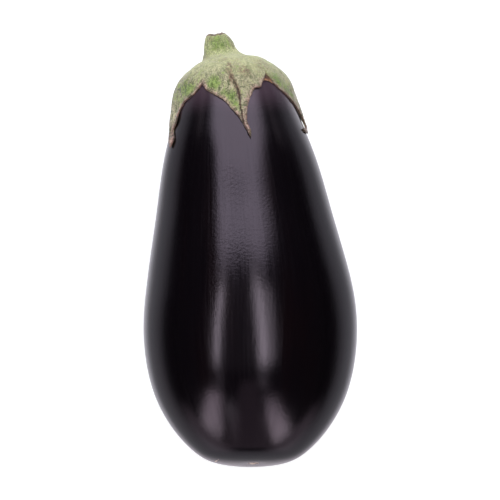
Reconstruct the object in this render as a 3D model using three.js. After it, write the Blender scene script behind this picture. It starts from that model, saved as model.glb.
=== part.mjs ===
// A bell-shaped eggplant with its calyx and cut stem, lying on its side.
// Millimetres, +Z up, the stem towards +Y. The origin is under the middle of the whole fruit, on the
// surface that it lies on.
//
// Each piece is first shaped in the fruit's own frame: y runs along the axis from the blossom end to the
// crown, z points to the upper side, and angles round the axis start at the upper side and grow towards +x.
// The rest pose then lowers the stem end until the belly lies flat.

import * as THREE from "three";

// --- Driving dimensions ---------------------------------------------------------------------------------

const fruit = {
  length: 162, // along the axis, from the blossom end to the crown under the stem
  blossomEndRadius: 92, // how round the blunt end is at its middle
  crownEndRadius: 34, // how round the crown is at its middle
  girth: [ // distance from the blossom end, and the radius there
    [4, 19.9], [12, 28.4], [26, 36.9], [42, 41.2], [58, 42.1],
    [78, 39.6], [100, 35.1], [124, 30], [142, 24.3], [153, 19.8],
  ],
  bendFrom: 69.4, // the axis is straight up to here, then leans
  bendRound: 8, // length over which it starts to lean
  leanLeft: 0.077, // sideways lean of the neck, as a slope
  leanUp: 0.03, // lift of the neck, as a slope
  swell: 0.005, // how far the three broad sides of the fruit stand out, as a share of its radius
  rings: 46,
  columns: 60,
};

const scar = { // the corky spot at the blossom end
  radius: 4.2,
  depth: 0.9, // of the dimple
  button: 0.5, // height of the nub at its middle
};

const rest = {
  pitchDeg: 12, // how far the stem end dips when the belly lies on a table
  flatDepth: 0.45, // how much of the belly the small flat spot takes off
};

const calyx = {
  clearance: 0.35, // between the calyx and the fruit's skin
  crownThickness: 2.4,
  crownSway: 0.57, // so much thicker on the right of the crown, and thinner on its left
  shoulderThickness: 1.9,
  edgeThickness: 0.9,
  joinRadius: 11.5, // where the flare of the stem meets the cap
  joinSpread: 2.75, // so much further out on the upper side, and closer in underneath
  joinTowardDeg: -17, // the direction in which it lies furthest out
  flarePull: 0.36, // how soft the bend of the flare is
  pillow: 0.5, // how far each lobe bulges between its notches
  creaseDepth: 0.75, // of the fold down the middle of a lobe
  edgeLift: 0.25, // how far the edge stands off the fruit
  tipLift: 0.45, // further lift at the tips
  edgeWave: 0.45, // ragged outline of the edge
};

// The notches between the lobes: the angle round the axis, in degrees, and the distance from the blossom end.
const notches = [
  { angle: -33.5, at: 147.6 }, { angle: 32, at: 149.2 }, { angle: 112, at: 150 },
  { angle: 178, at: 149 }, { angle: 247, at: 149 },
];
// Lobe k lies between notch k and notch k + 1. Its tip is this far from the blossom end and swings to one
// side, by an angle in degrees. Its outline is partly a broad triangle, and partly drawn out to a point.
const lobes = [
  { tip: 123.4, swing: 8.8, broad: 0.42, point: 5, crease: 1 },
  { tip: 129.5, swing: -8.8, broad: 0.34, point: 8, crease: 0.4 },
  { tip: 127, swing: 5, broad: 0.4, point: 6, crease: 0.7 },
  { tip: 128.5, swing: -6, broad: 0.45, point: 6, crease: 0.5 },
  { tip: 124, swing: 9.5, broad: 0.55, point: 8, crease: 0.4 },
];

const stem = {
  footAt: 165.8, // distance of the stem's foot from the blossom end
  footLeft: 12.4, // how far left of the fruit's straight axis the foot stands
  footUp: 7, // and how far above it
  lean: new THREE.Vector3(-0.22, 1, 0.22).normalize(),
  girth: [ // height over the foot, and the radius there
    [0, 6.5], [2, 6.15], [4, 5.5], [5.75, 4.6], [6.7, 3.95], [7.2, 3.1],
  ],
  cutTilt: 0.1, // slope of the cut across the stem's end, down to the right
  splay: 0.6, // outward slope of the stem's foot
  cutHollow: 0.5, // the dried cut face sinks in at its middle
  ribs: 5,
  ribShare: 0.035, // height of the ribs, as a share of the radius
};

// Rows of the calyx's surface, stretch by stretch, and its columns.
const skinRows = { cut: 2, cap: 17, flare: 5, lining: 8, crown: 3 };
const columnsPerHalfLobe = 9;
const columnCrowding = 1.35; // above 1 crowds a lobe's columns towards its tip

// --- Curves ---------------------------------------------------------------------------------------------

const lerp = THREE.MathUtils.lerp;
const smooth = (x, from, to) => THREE.MathUtils.smoothstep(x, from, to);
const bell = (x, width) => Math.exp(-((x / width) ** 2));

// A smooth curve through the points (xs, ys), level at both ends: a cubic spline, as a function of x.
function levelEndedSpline(xs, ys) {
  const n = xs.length;
  const step = xs.slice(1).map((x, i) => x - xs[i]);
  const rise = step.map((h, i) => (ys[i + 1] - ys[i]) / h);
  const lower = [0, ...step];
  const upper = [...step, 0];
  const middle = xs.map((_, i) => 2 * (lower[i] + upper[i]));
  const right = xs.map((_, i) => 6 * ((rise[i] ?? 0) - (rise[i - 1] ?? 0)));
  for (let i = 1; i < n; i++) {
    const share = lower[i] / middle[i - 1];
    middle[i] -= share * upper[i - 1];
    right[i] -= share * right[i - 1];
  }
  const bend = new Array(n).fill(0);
  for (let i = n - 1; i >= 0; i--) bend[i] = (right[i] - upper[i] * (bend[i + 1] ?? 0)) / middle[i];
  return (x) => {
    let i = 0;
    while (i < n - 2 && x > xs[i + 1]) i++;
    const a = (xs[i + 1] - x) / step[i];
    const b = 1 - a;
    const curve = (a ** 3 - a) * bend[i] + (b ** 3 - b) * bend[i + 1];
    return a * ys[i] + b * ys[i + 1] + (curve * step[i] ** 2) / 6;
  };
}

// --- The fruit's skin -----------------------------------------------------------------------------------

// A ring of the skin is named by a turn from 0 at the blossom end to pi at the crown. The radius is the sine
// of the turn times a slowly changing fullness, which keeps both ends round.
const turnAt = (y) => Math.acos(1 - (2 * y) / fruit.length);
const axisAt = (turn) => (fruit.length * (1 - Math.cos(turn))) / 2;
const fullness = levelEndedSpline(
  [0, ...fruit.girth.map(([y]) => turnAt(y)), Math.PI],
  [
    Math.sqrt((fruit.blossomEndRadius * fruit.length) / 2),
    ...fruit.girth.map(([y, r]) => r / Math.sin(turnAt(y))),
    Math.sqrt((fruit.crownEndRadius * fruit.length) / 2),
  ],
);
const radiusAt = (turn) => Math.sin(turn) * fullness(turn);

// Where the bent axis runs at a distance y from the blossom end.
function spineAt(y) {
  const past = y - fruit.bendFrom;
  const run = (Math.hypot(past, fruit.bendRound) + past) / 2;
  return new THREE.Vector3(-fruit.leanLeft * run, y, fruit.leanUp * run);
}

// A point on the skin, moved out along the surface normal.
function skinPoint(turn, angle, out = 0) {
  const nudge = 1e-4;
  const along = (axisAt(turn + nudge) - axisAt(turn - nudge)) / (2 * nudge);
  const outward = (radiusAt(turn + nudge) - radiusAt(turn - nudge)) / (2 * nudge);
  const length = Math.hypot(along, outward) || 1;
  const swell = fruit.swell * Math.sin(turn) ** 2 * Math.cos(3 * angle);
  const radius = radiusAt(turn) * (1 + swell) + (out * along) / length;
  const point = spineAt(axisAt(turn));
  point.x += radius * Math.sin(angle);
  point.z += radius * Math.cos(angle);
  point.y -= (out * outward) / length;
  return point;
}

// The dimple and the nub of the blossom scar, as a depth into the skin at a distance from its middle.
const scarDepth = (distance) =>
  scar.depth * bell(distance, scar.radius) - scar.button * bell(distance, scar.radius / 3);

// --- Closed surfaces ------------------------------------------------------------------------------------

// A sphere's surface with each of its points moved: row 0 and the last row are single points.
function closedSkin(rows, columns, pointAt) {
  const geometry = new THREE.SphereGeometry(1, columns, rows);
  const position = geometry.getAttribute("position");
  for (let i = 0; i < position.count; i++) {
    const row = Math.floor(i / (columns + 1));
    const column = (i % (columns + 1)) % columns;
    const point = pointAt(row, row === 0 || row === rows ? 0 : column);
    position.setXYZ(i, point.x, point.y, point.z);
  }
  geometry.computeVertexNormals();
  return geometry;
}

const restPose = new THREE.Matrix4().makeRotationX(THREE.MathUtils.degToRad(-rest.pitchDeg));

function fruitGeometry() {
  const geometry = closedSkin(fruit.rings, fruit.columns, (row, column) => {
    const turn = Math.PI * (1 - row / fruit.rings);
    const angle = (2 * Math.PI * column) / fruit.columns;
    return skinPoint(turn, angle, turn < 1 ? -scarDepth(radiusAt(turn)) : 0);
  });
  return geometry.applyMatrix4(restPose);
}

// --- The calyx and its stem -----------------------------------------------------------------------------

// One column of the calyx for each of these: its lobe, and its place across it, from -1 at one notch,
// through 0 at the tip, to 1 at the next notch.
const calyxColumns = lobes.flatMap((_, lobe) => {
  const places = [];
  for (let k = -columnsPerHalfLobe; k < columnsPerHalfLobe; k++) {
    places.push({ lobe, across: Math.sign(k) * (Math.abs(k) / columnsPerHalfLobe) ** columnCrowding });
  }
  return places;
});

// The turn of the crown where the flare of the stem meets the cap.
function joinTurnAt(angle) {
  const toward = THREE.MathUtils.degToRad(calyx.joinTowardDeg);
  const radius = calyx.joinRadius + calyx.joinSpread * Math.cos(angle - toward);
  let turn = Math.PI;
  while (radiusAt(turn) < radius) turn -= 0.002;
  return turn;
}

// The line of a column: its angle round the axis at the top, where its edge is, and how far it swings.
function columnLine({ lobe, across }) {
  const from = notches[lobe];
  const to = notches[(lobe + 1) % notches.length];
  const width = ((to.angle - from.angle + 360) % 360) / 2;
  const notchAt = lerp(from.at, to.at, (across + 1) / 2);
  const near = 1 - Math.abs(across);
  const wave = calyx.edgeWave * (Math.sin(9.1 * across + 2.3 * lobe) + 0.6 * Math.sin(21 * across + lobe));
  const quiet = smooth(Math.abs(across), 0.04, 0.25) * smooth(near, 0, 0.15);
  const { tip, swing, broad, point, crease } = lobes[lobe];
  const angle = THREE.MathUtils.degToRad(from.angle + width * (1 + across));
  return {
    angle,
    joinTurn: joinTurnAt(angle),
    swing: THREE.MathUtils.degToRad(swing),
    notchAt,
    tipAt: tip,
    edgeAt: lerp(notchAt, tip, lerp(near ** point, near, broad)) + wave * quiet,
    crease,
    across,
  };
}
const lines = calyxColumns.map(columnLine);

// The place on the skin under a column, a share of the way down from the flare to the edge.
function capPlace(line, share) {
  const turn = lerp(line.joinTurn, turnAt(line.edgeAt), share);
  const below = Math.max(0, (line.notchAt - axisAt(turn)) / (line.notchAt - line.tipAt));
  return { turn, angle: line.angle + line.swing * Math.min(1, below) ** 2, below };
}

// Thickness of the calyx, and how far it stands off the skin.
function capThickness(line, share, below) {
  const crown = calyx.crownThickness + calyx.crownSway * Math.sin(line.angle);
  const base = share < 0.45
    ? lerp(crown, calyx.shoulderThickness, smooth(share, 0, 0.45))
    : lerp(calyx.shoulderThickness, calyx.edgeThickness, smooth(share, 0.45, 1));
  const middle = smooth(share, 0.1, 0.5) * (1 - smooth(share, 0.75, 1));
  const pillow = calyx.pillow * middle * Math.cos((Math.PI * line.across) / 2) ** 2;
  const fold = calyx.creaseDepth * line.crease * bell(line.across, 0.07) * middle;
  return base + pillow - fold * (1 - 0.5 * below);
}
const capLift = (share, below) =>
  calyx.clearance + calyx.edgeLift * smooth(share, 0.7, 1)
  + calyx.tipLift * smooth(below, 0.5, 1) * smooth(share, 0.5, 1);

function capPoint(line, share) {
  const { turn, angle, below } = capPlace(line, share);
  return skinPoint(turn, angle, capLift(share, below) + capThickness(line, share, below));
}

function liningPoint(line, share) {
  const { turn, angle, below } = capPlace(line, share);
  return skinPoint(turn, angle, capLift(share, below));
}

const stemFoot = new THREE.Vector3(-stem.footLeft, stem.footAt, stem.footUp);
const stemUp = new THREE.Vector3(0, 0, 1).addScaledVector(stem.lean, -stem.lean.z).normalize();
const stemRight = new THREE.Vector3().crossVectors(stem.lean, stemUp);

function stemPoint(angle, height, radius) {
  const out = radius * (1 + stem.ribShare * Math.cos(stem.ribs * angle));
  const drop = stem.cutTilt * out * Math.sin(angle) * (height / stem.girth.at(-1)[0]) ** 2;
  return stemFoot.clone()
    .addScaledVector(stem.lean, height - drop)
    .addScaledVector(stemUp, out * Math.cos(angle))
    .addScaledVector(stemRight, out * Math.sin(angle));
}

// The flare from the stem's foot to the cap, as a curve that leaves the stem at a slant and meets the cap
// along its slope.
function flarePoint(line, share) {
  const start = stemPoint(line.angle, ...stem.girth[0]);
  const outward = start.clone().sub(stemFoot).normalize();
  const slant = outward.multiplyScalar(stem.splay).sub(stem.lean).normalize();
  const end = capPoint(line, 0);
  const slope = capPoint(line, 0.02).sub(end).normalize();
  const pull = calyx.flarePull * start.distanceTo(end);
  const curve = new THREE.CubicBezierCurve3(
    start,
    start.clone().addScaledVector(slant, pull),
    end.clone().addScaledVector(slope, -pull),
    end,
  );
  return curve.getPoint(share);
}

// The rows of the calyx's surface in turn: from the middle of the cut face, down the stem, over the flare
// and the cap to the edge, and back up the lining to the crown.
function calyxGeometry() {
  const [rimHeight, rimRadius] = stem.girth.at(-1);
  const cutFace = Array.from({ length: skinRows.cut }, (_, i) => (line) => {
    const share = i / skinRows.cut;
    return stemPoint(line.angle, rimHeight - stem.cutHollow * (1 - share ** 2), rimRadius * share);
  });
  const side = stem.girth.toReversed()
    .map(([height, radius]) => (line) => stemPoint(line.angle, height, radius));
  const flare = Array.from({ length: skinRows.flare - 1 }, (_, i) => (line) =>
    flarePoint(line, (i + 1) / skinRows.flare));
  const cap = Array.from({ length: skinRows.cap + 1 }, (_, i) => (line) => capPoint(line, i / skinRows.cap));
  const lining = Array.from({ length: skinRows.lining + 1 }, (_, i) => (line) =>
    liningPoint(line, 1 - i / skinRows.lining));
  const crown = Array.from({ length: skinRows.crown }, (_, i) => (line) =>
    skinPoint(lerp(line.joinTurn, Math.PI, (i + 1) / skinRows.crown), line.angle, calyx.clearance));
  const rows = [...cutFace, ...side, ...flare, ...cap, ...lining, ...crown];
  rows[0] = () => stemPoint(0, rimHeight - stem.cutHollow, 0);
  const geometry = closedSkin(rows.length - 1, lines.length, (row, column) => rows[row](lines[column]));
  return geometry.applyMatrix4(restPose);
}

// --- Materials ------------------------------------------------------------------------------------------

const skinMaterial = new THREE.MeshStandardMaterial({ color: 0x1a0f1c, roughness: 0.22, metalness: 0 });
const calyxMaterial = new THREE.MeshStandardMaterial({ color: 0x93a368, roughness: 0.8, metalness: 0 });

// --- The eggplant ---------------------------------------------------------------------------------------

function named(name, geometry, material) {
  const mesh = new THREE.Mesh(geometry, material);
  mesh.name = name;
  return mesh;
}

const eggplant = new THREE.Group();
eggplant.add(named("fruit", fruitGeometry(), skinMaterial));
eggplant.add(named("calyx", calyxGeometry(), calyxMaterial));

// The lowest part of the belly is pressed flat, and everything is set over the origin.
const whole = new THREE.Box3().setFromObject(eggplant);
const middle = whole.getCenter(new THREE.Vector3());
for (const { geometry } of eggplant.children) {
  geometry.translate(-middle.x, -middle.y, -whole.min.z - rest.flatDepth);
  const position = geometry.getAttribute("position");
  for (let i = 0; i < position.count; i++) position.setZ(i, Math.max(0, position.getZ(i)));
  geometry.computeVertexNormals();
}

export default eggplant;
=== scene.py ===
import math
from functools import partial
import bpy
import numpy as np
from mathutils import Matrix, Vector, noise as bumpiness


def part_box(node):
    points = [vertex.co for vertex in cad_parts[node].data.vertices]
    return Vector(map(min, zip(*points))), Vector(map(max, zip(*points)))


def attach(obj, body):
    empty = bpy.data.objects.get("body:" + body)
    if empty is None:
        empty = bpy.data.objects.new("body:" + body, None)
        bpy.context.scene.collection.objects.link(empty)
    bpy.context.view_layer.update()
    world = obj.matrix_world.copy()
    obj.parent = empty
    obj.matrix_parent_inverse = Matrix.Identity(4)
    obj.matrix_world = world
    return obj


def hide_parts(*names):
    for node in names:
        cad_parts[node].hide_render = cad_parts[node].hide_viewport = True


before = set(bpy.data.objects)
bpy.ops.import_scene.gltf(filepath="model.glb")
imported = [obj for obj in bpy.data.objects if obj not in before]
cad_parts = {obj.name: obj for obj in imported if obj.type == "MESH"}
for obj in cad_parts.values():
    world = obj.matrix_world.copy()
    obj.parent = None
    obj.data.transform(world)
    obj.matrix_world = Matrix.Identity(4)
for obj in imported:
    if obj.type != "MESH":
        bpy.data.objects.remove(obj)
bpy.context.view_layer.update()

mm = 0.001
tiny = 1e-12
white = (1, 1, 1, 1)
print("frame loaded:", sorted(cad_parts))


# the fruit in millimetres: y runs from the blossom end to the crown, z to the upper side
fruitSettings = {
    "length": 162,
    "blossomEndRadius": 92,
    "crownEndRadius": 34,
    "girth": [(4, 19.9), (12, 28.4), (26, 36.9), (42, 41.2), (58, 42.1),
              (78, 39.6), (100, 35.1), (124, 30), (142, 24.3), (153, 19.8)],
    "bendFrom": 69.4,
    "bendRound": 8,
    "leanLeft": 0.077,
    "leanUp": 0.03,
    "swell": 0.005,
    "pitch": math.radians(12),
    "solidRings": 46,  # of the plain solid, which this one takes the place of
    "solidColumns": 60,
    # finer faces, and the unevenness that they carry
    "segments": 240,
    "rings": 190,
    "profilePoints": 49,
    "ripple": 0.035,
    "ripples": (90.0, 2.0),  # how many to the metre, detail
    "flute": 0.01,
    "flutes": (9.0, 2.0),  # how many to the radius, detail
    "scarCentre": (1.0, 2.5, 0.0),  # beside and above the fruit's axis
    "scarRadius": 4.2,
    "scarDepth": 0.25,
    "scarButton": 0.3,
    # the skin
    "deep": (0.0020, 0.0011, 0.0022, 1),
    "warm": (0.0038, 0.0013, 0.0020, 1),
    "neck": (0.072, 0.046, 0.062, 1),
    "neckFrom": (0.825, 0.91),  # share of the way to the crown
    "neckRagged": 0.04,
    "cork": (0.82, 0.70, 0.60, 1),
    "corkEdge": (0.16, 0.075, 0.06, 1),
    "corkRagged": 2.2,
    "corkRoughness": 0.45,
    "roughness": 0.175,
    "glossRange": (-0.05, 0.06),
    "reflectionTint": (1.0, 0.85, 1.0, 1),
    "mottle": (2.2, 2.0),  # how many to the radius, detail
    "streaks": (62.0, 4.0, 0.6),  # how many to the radius, detail, roughness
    "streakHeight": 0.000012,
    "pebbles": (1000.0, 3.0, 0.6),  # how many to the metre, detail, roughness
    "pebbleHeight": 0.00004,
    "specks": (1100.0, 2.0, 0.6),
    # corky marks in millimetres of the frame: centre, half sizes, turn round y
    "scar": ((1.2, -83.3, 58.6), (2.2, 12.0, 2.4), 0.45),
    "scratch": ((-13.2, -82.6, 57.0), (0.32, 12.0, 3.6), 0.24),
}


def levelEndedSpline(xs, ys):
    # a smooth curve through the stations, level at both ends
    xs, ys = np.array(xs, float), np.array(ys, float)
    n, step = len(xs), np.diff(xs)
    rise = np.diff(ys) / step
    system, right = np.zeros((n, n)), 6 * np.diff(np.concatenate([[0], rise, [0]]))
    for i in range(n):
        before, after = step[i - 1] if i else 0, step[i] if i < n - 1 else 0
        system[i, i] = 2 * (before + after)
        if i:
            system[i, i - 1] = before
        if i < n - 1:
            system[i, i + 1] = after
    bend = np.linalg.solve(system, right)

    def curve(x):
        i = np.clip(np.searchsorted(xs, x) - 1, 0, n - 2)
        a = (xs[i + 1] - x) / step[i]
        b = 1 - a
        bent = ((a**3 - a) * bend[i] + (b**3 - b) * bend[i + 1]) * step[i] ** 2 / 6
        return a * ys[i] + b * ys[i + 1] + bent

    return curve


def turnAt(y):
    return np.arccos(1 - 2 * np.asarray(y, float) / fruitSettings["length"])


def axisAt(turn):
    return fruitSettings["length"] * (1 - np.cos(turn)) / 2


def makeFullness(s):
    stations = [(turnAt(y), r / np.sin(turnAt(y))) for y, r in s["girth"]]
    ends = [math.sqrt(s[key] * s["length"] / 2) for key in ("blossomEndRadius", "crownEndRadius")]
    xs, ys = zip((0, ends[0]), *stations, (math.pi, ends[1]))
    return levelEndedSpline(xs, ys)


fullness = makeFullness(fruitSettings)


def radiusAt(turn):
    return np.sin(turn) * fullness(turn)


def skinPoint(turn, angle, out=0.0):
    # a point at a height over the skin, before the fruit is laid down
    s, nudge = fruitSettings, 1e-4
    along = (axisAt(turn + nudge) - axisAt(turn - nudge)) / (2 * nudge)
    outward = (radiusAt(turn + nudge) - radiusAt(turn - nudge)) / (2 * nudge)
    length = np.maximum(np.hypot(along, outward), tiny)
    radius = radiusAt(turn) * (1 + s["swell"] * np.sin(turn) ** 2 * np.cos(3 * angle)) + out * along / length
    y = axisAt(turn)
    past = y - s["bendFrom"]
    run = (np.hypot(past, s["bendRound"]) + past) / 2
    return np.stack([-s["leanLeft"] * run + radius * np.sin(angle), y - out * outward / length,
                     s["leanUp"] * run + radius * np.cos(angle)], axis=-1)


def pitched(points):
    c, s = math.cos(fruitSettings["pitch"]), math.sin(fruitSettings["pitch"])
    x, y, z = np.moveaxis(points, -1, 0)
    return np.stack([x, y * c + z * s, z * c - y * s], axis=-1)


def findSetDown(s):
    # where the solid fruit stands in the frame, from the same rings and columns as it has
    rings = np.linspace(0, math.pi, s["solidRings"] + 1)
    around = np.linspace(0, 2 * math.pi, s["solidColumns"] + 1)
    sample = pitched(skinPoint(*np.meshgrid(rings, around))).reshape(-1, 3)
    low, high = (np.array(corner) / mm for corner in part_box("fruit"))
    return np.array([(low[0] + high[0] - sample[:, 0].min() - sample[:, 0].max()) / 2,
                     low[1] - sample[:, 1].min(), high[2] - sample[:, 2].max()])


setDown = findSetDown(fruitSettings)
print("fruit set down by", setDown.round(2))


def inFrame(points):
    placed = (pitched(points) + setDown) * mm
    placed[..., 2] = np.maximum(placed[..., 2], 0)  # the small flat spot that it rests on
    return placed


# small helpers for node trees: a new node goes into the tree that its inputs come from
def join(source, target):
    target.id_data.links.new(source, target)


def feed(socket, value):
    if isinstance(value, bpy.types.NodeSocket):
        join(value, socket)
    elif value is not None:
        socket.default_value = value


def addNode(tree, kind, inputs=None, **settings):
    node = tree.nodes.new(kind)
    for key, value in settings.items():
        setattr(node, key, value)
    for key, value in (inputs or {}).items():
        feed(node.inputs[key], value)
    return node


def treeOf(*values):
    return next(value.id_data for value in values if isinstance(value, bpy.types.NodeSocket))


def calc(operation, *values):
    return addNode(treeOf(*values), "ShaderNodeMath", dict(enumerate(values)), operation=operation).outputs[0]


plus, minus, times, divided = (partial(calc, name) for name in ("ADD", "SUBTRACT", "MULTIPLY", "DIVIDE"))


def centred(value, amount):
    # a value between 0 and 1 becomes a push either way
    return times(minus(value, 0.5), amount)


def vectorCalc(operation, *values, out="Vector"):
    inputs = dict(zip(("Vector", "Scale") if operation == "SCALE" else (0, 1, 2), values))
    return addNode(treeOf(*values), "ShaderNodeVectorMath", inputs, operation=operation).outputs[out]


def vectorOf(x, y, z=0.0):
    return addNode(treeOf(x, y, z), "ShaderNodeCombineXYZ", {"X": x, "Y": y, "Z": z}).outputs[0]


def partsOf(vector):
    return addNode(treeOf(vector), "ShaderNodeSeparateXYZ", {"Vector": vector}).outputs


def lengthOf(vector):
    return vectorCalc("LENGTH", vector, out="Value")


def ramp(value, low, high, toLow=0.0, toHigh=1.0):
    inputs = {"Value": value, "From Min": low, "From Max": high, "To Min": toLow, "To Max": toHigh}
    node = addNode(treeOf(value), "ShaderNodeMapRange", inputs, interpolation_type="SMOOTHSTEP", clamp=True)
    return node.outputs["Result"]


def noise(vector, perUnit, detail=3.0, roughness=0.5, out="Fac"):
    inputs = {"Vector": vector, "Scale": perUnit, "Detail": detail, "Roughness": roughness}
    return addNode(treeOf(vector), "ShaderNodeTexNoise", inputs).outputs[out]


def newTree(name, kind, inputs, outputs):
    tree = bpy.data.node_groups.new(name, kind)
    for side, sockets in (("INPUT", inputs), ("OUTPUT", outputs)):
        for label, (socketKind, value) in sockets.items():
            socket = tree.interface.new_socket(label, in_out=side, socket_type="NodeSocket" + socketKind)
            if value is not None:
                socket.default_value = value
    return tree, tree.nodes.new("NodeGroupInput").outputs, tree.nodes.new("NodeGroupOutput").inputs


def socketName(key):
    # scarRadius becomes Scar Radius
    return "".join(" " + letter if letter.isupper() else letter for letter in key).title()


def inTurn(geometry, *steps):
    # one geometry node after another
    for kind, inputs in steps:
        node = addNode(treeOf(geometry), "GeometryNode" + kind, {"Geometry": geometry, **inputs})
        geometry = node.outputs[0]
    return geometry


def storedField(tree, name, kind):
    return addNode(tree, "GeometryNodeInputNamedAttribute", {"Name": name}, data_type=kind).outputs[0]


def setInputs(modifier, values):
    for item in modifier.node_group.interface.items_tree:
        if item.item_type == "SOCKET" and item.in_out == "INPUT" and item.name in values:
            modifier[item.identifier] = values[item.name]


def addObject(name, data):
    added = bpy.data.objects.new(name, data)
    bpy.context.scene.collection.objects.link(added)
    return added


def runTree(name, tree, values, over=None):
    # the tree's result as a plain mesh, with nothing live left on it
    carrier = addObject(name + "Carrier", over.data if over else bpy.data.meshes.new(name + "Carrier"))
    modifier = carrier.modifiers.new("build", "NODES")
    modifier.node_group = tree
    setInputs(modifier, values)
    bpy.context.view_layer.update()
    evaluated = carrier.evaluated_get(bpy.context.evaluated_depsgraph_get())
    mesh = bpy.data.meshes.new_from_object(evaluated)
    bpy.data.objects.remove(carrier)
    return addObject(name, mesh)


# what the looks of the pieces share
def newMaterial(name, **shaderValues):
    material = bpy.data.materials.new(name)
    material.use_nodes = True
    tree = material.node_tree
    shader = tree.nodes["Principled BSDF"]
    for key, value in shaderValues.items():
        shader.inputs[key.replace("_", " ")].default_value = value
    return material, tree, shader


def objectPlace(tree):
    return addNode(tree, "ShaderNodeTexCoord").outputs["Object"]


def attribute(tree, name, out="Fac"):
    return addNode(tree, "ShaderNodeAttribute", attribute_name=name).outputs[out]


def blend(factor, first, second, kind="MIX"):
    inputs = {0: factor, 6: first, 7: second}
    return addNode(treeOf(factor, first, second), "ShaderNodeMix", inputs,
                   data_type="RGBA", blend_type=kind, clamp_factor=True).outputs[2]


def painted(colour, look, layers):
    # one colour of the look over another, each where its mask lets it through
    for name, mask in layers:
        colour = blend(mask, colour, look[name])
    return colour


def bumped(height, distance, strength=1.0, normal=None):
    inputs = {"Height": height, "Distance": distance, "Strength": strength, "Normal": normal}
    return addNode(treeOf(height), "ShaderNodeBump", inputs).outputs["Normal"]


def makeFleckGroup():
    # irregular specks: as many as there are to the metre, in a share of the cells, as wide as their spread
    tree, given, result = newTree("flecks", "ShaderNodeTree", {
        "Vector": ("Vector", None), "Per Metre": ("Float", 400.0),
        "Share": ("Float", 0.3), "Spread": ("Float", 0.3)}, {"Mask": ("Float", None)})
    wobble = noise(given["Vector"], times(given["Per Metre"], 1.7), 2.0, out="Color")
    push = vectorCalc("SCALE", vectorCalc("SUBTRACT", wobble, (0.5, 0.5, 0.5)), divided(0.9, given["Per Metre"]))
    moved = vectorCalc("ADD", given["Vector"], push)
    cells = addNode(tree, "ShaderNodeTexVoronoi", {"Vector": moved, "Scale": given["Per Metre"]}).outputs
    chance = addNode(tree, "ShaderNodeSeparateColor", {"Color": cells["Color"]}).outputs[0]
    spot = ramp(cells["Distance"], times(given["Spread"], 0.4), given["Spread"], 1.0, 0.0)
    join(times(calc("LESS_THAN", chance, given["Share"]), spot), result["Mask"])
    return tree


flecks = makeFleckGroup()


def fleckMask(vector, perMetre, share, spread):
    node = addNode(treeOf(vector), "ShaderNodeGroup", node_tree=flecks)
    for key, value in {"Vector": vector, "Per Metre": perMetre, "Share": share, "Spread": spread}.items():
        feed(node.inputs[key], value)
    return node.outputs["Mask"]


def makeSkinMaterial(s):
    material, tree, shader = newMaterial(
        "eggplantSkin", Roughness=s["roughness"], IOR=1.5, Specular_Tint=s["reflectionTint"])
    # sine and cosine round the fruit, and share of the way along it
    place = attribute(tree, "skinPlace", "Vector")
    inObject = objectPlace(tree)
    streaks = noise(vectorCalc("MULTIPLY", place, (1.0, 1.0, 0.1)), *s["streaks"])
    mottle = noise(vectorCalc("MULTIPLY", place, (1.0, 1.0, 0.9)), *s["mottle"])
    specks = noise(inObject, *s["specks"])
    along = partsOf(place)["Z"]
    cork = 0.0
    for key in ("scar", "scratch"):
        centre, sizes, turn = s[key]
        local = addNode(tree, "ShaderNodeMapping", {
            "Vector": inObject, "Location": [v * mm for v in centre], "Rotation": (0, turn, 0),
            "Scale": [v * mm for v in sizes]}, vector_type="TEXTURE").outputs[0]
        ragged = plus(lengthOf(local), centred(specks, s["corkRagged"]))
        cork = calc("MAXIMUM", cork, ramp(ragged, 1.1, 0.55))
    colour = blend(ramp(mottle, 0.45, 0.7), s["deep"], s["warm"])
    colour = painted(colour, s, (
        ("neck", ramp(plus(along, centred(mottle, s["neckRagged"])), *s["neckFrom"])),
        ("corkEdge", ramp(cork, 0.0, 0.5)),
        ("cork", ramp(cork, 0.45, 0.9))))
    join(colour, shader.inputs["Base Color"])
    gloss = ramp(streaks, 0.25, 0.8, *(s["roughness"] + change for change in s["glossRange"]))
    join(plus(gloss, times(cork, s["corkRoughness"])), shader.inputs["Roughness"])
    fromEnds = times(times(along, minus(1.0, along)), 4.0)
    normal = bumped(times(streaks, fromEnds), s["streakHeight"])
    join(bumped(noise(inObject, *s["pebbles"]), s["pebbleHeight"], normal=normal), shader.inputs["Normal"])
    return material


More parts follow.
